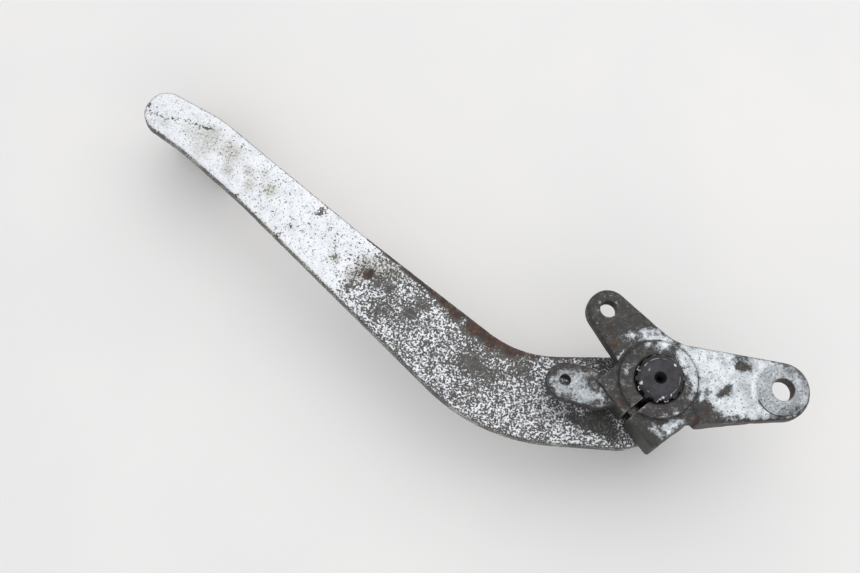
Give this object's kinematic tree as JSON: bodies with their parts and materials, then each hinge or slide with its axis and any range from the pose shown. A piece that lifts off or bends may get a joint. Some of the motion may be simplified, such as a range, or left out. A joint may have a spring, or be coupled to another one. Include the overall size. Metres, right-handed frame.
{
  "type": "brake lever",
  "caption": "Foot brake lever: flat bent pedal arm on a pivot shaft, with a forged three-arm crank pinched on the shaft's serrations and a rubber foot pad at the tip.",
  "frame": {"origin": "on the pivot axis, at the foot of the pivot sleeve", "axes": "+Z along the pivot axis from the sleeve's foot towards the crank; the brake rod's arm reaches along +X; the pedal arm reaches to -X and +Y"},
  "size_m": [0.2449, 0.1395, 0.0539],
  "materials": {
    "lever_paint": "silver paint, chipped and stained",
    "crank_paint": "silver paint worn to dark forged steel",
    "sleeve_paint": "black paint, worn",
    "shaft_steel": "turned steel, darkened",
    "spring_steel": "blackened spring steel",
    "weld_steel": "weld bead, heat darkened",
    "zinc_plated": "zinc plated, dull",
    "bronze": "sintered bronze",
    "seal_rubber": "matte",
    "pad_rubber": "matte, ribbed, scuffed"
  },
  "bodies": {
    "pivot": {"pivot_sleeve": "sleeve_paint", "upper_bush": "bronze", "lower_bush": "bronze", "upper_dust_seal": "seal_rubber", "lower_dust_seal": "seal_rubber", "grease_nipple": "zinc_plated"},
    "pedal": {"pivot_shaft": "shaft_steel", "upper_thrust_washer": "shaft_steel", "lower_thrust_washer": "shaft_steel", "retaining_clip": "spring_steel", "lever_plate": "lever_paint", "shaft_weld": "weld_steel", "clamp_crank": "crank_paint", "pinch_bolt": "zinc_plated", "pinch_lock_washer": "spring_steel", "pinch_flat_washer": "zinc_plated", "pad_plate": "lever_paint", "pad_weld": "weld_steel", "pad_rubber": "pad_rubber", "pad_rivets": "zinc_plated"}
  },
  "joints": [
    {"name": "pedal_pivot", "type": "hinge", "parent": "pivot", "child": "pedal", "pos_m": [0, 0, 0], "axis": [0, 0, 1], "range_deg": [0, 15]}
  ]
}
